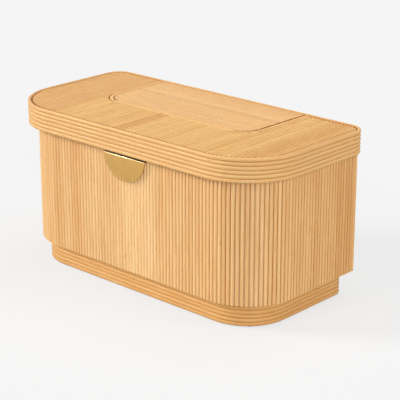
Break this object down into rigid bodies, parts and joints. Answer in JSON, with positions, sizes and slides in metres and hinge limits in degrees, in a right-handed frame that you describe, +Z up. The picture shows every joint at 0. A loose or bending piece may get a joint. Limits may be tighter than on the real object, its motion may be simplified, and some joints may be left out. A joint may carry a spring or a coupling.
{
  "type": "storage trunk",
  "caption": "Long storage trunk clad in split reeds, with a hinged lid banded in bent poles, a half-moon pull and a set-back plinth.",
  "frame": {"origin": "middle of the bounding box's base, on the floor under the glides", "axes": "+X along the trunk's length, +Y towards the hinged back, +Z up"},
  "size_m": [0.914, 0.448, 0.4649],
  "materials": {
    "inside_board": "veneered plywood, clear matt lacquer",
    "wall_reeds": "split reed, clear satin lacquer",
    "top_reeds": "split reed, clear satin lacquer",
    "poles": "bent round pole, clear satin lacquer",
    "frame_wood": "planed hardwood",
    "stained_board": "plywood, stained dark brown under the reeds",
    "stained_spacer": "hardwood, stained black-brown",
    "pull_brass": "brushed, matt",
    "hinge_brass": "satin",
    "steel": "zinc plated",
    "black_rubber": "black moulded rubber",
    "buffer_rubber": "clear soft buffer"
  },
  "bodies": {
    "trunk": {"front_wall": "inside_board", "back_wall": "inside_board", "left_wall": "inside_board", "right_wall": "inside_board", "corner_walls": "inside_board", "floor_panel": "inside_board", "front_reeds": "wall_reeds", "corner_reeds": "wall_reeds", "left_reeds": "wall_reeds", "right_reeds": "wall_reeds", "back_reeds": "wall_reeds", "back_corner_poles": "wall_reeds", "plinth_front_rail": "frame_wood", "plinth_back_rail": "frame_wood", "plinth_end_rails": "frame_wood", "plinth_corner_blocks": "frame_wood", "plinth_poles": "poles", "glides": "black_rubber", "glide_nails": "steel", "floor_screws": "steel", "lid_buffers": "buffer_rubber", "body_hinge_leaves": "hinge_brass", "hinge_pins": "steel", "body_hinge_screws": "hinge_brass"},
    "lid": {"lid_front_rail": "frame_wood", "lid_back_rail": "frame_wood", "lid_end_rails": "frame_wood", "lid_corner_blocks": "frame_wood", "lid_top_board": "stained_board", "lid_liner": "inside_board", "rim_pole": "poles", "band_poles": "poles", "centre_reeds": "top_reeds", "border_reed": "top_reeds", "front_field_reeds": "top_reeds", "left_field_reeds": "top_reeds", "right_field_reeds": "top_reeds", "pull_spacer": "stained_spacer", "pull_plate": "pull_brass", "pull_screws": "pull_brass", "lid_hinge_leaves": "hinge_brass", "lid_hinge_screws": "hinge_brass"}
  },
  "joints": [
    {"name": "lid_hinge", "type": "hinge", "parent": "trunk", "child": "lid", "pos_m": [0, 0.2195, 0.3996], "axis": [-1, 0, 0], "range_deg": [0, 90]}
  ]
}
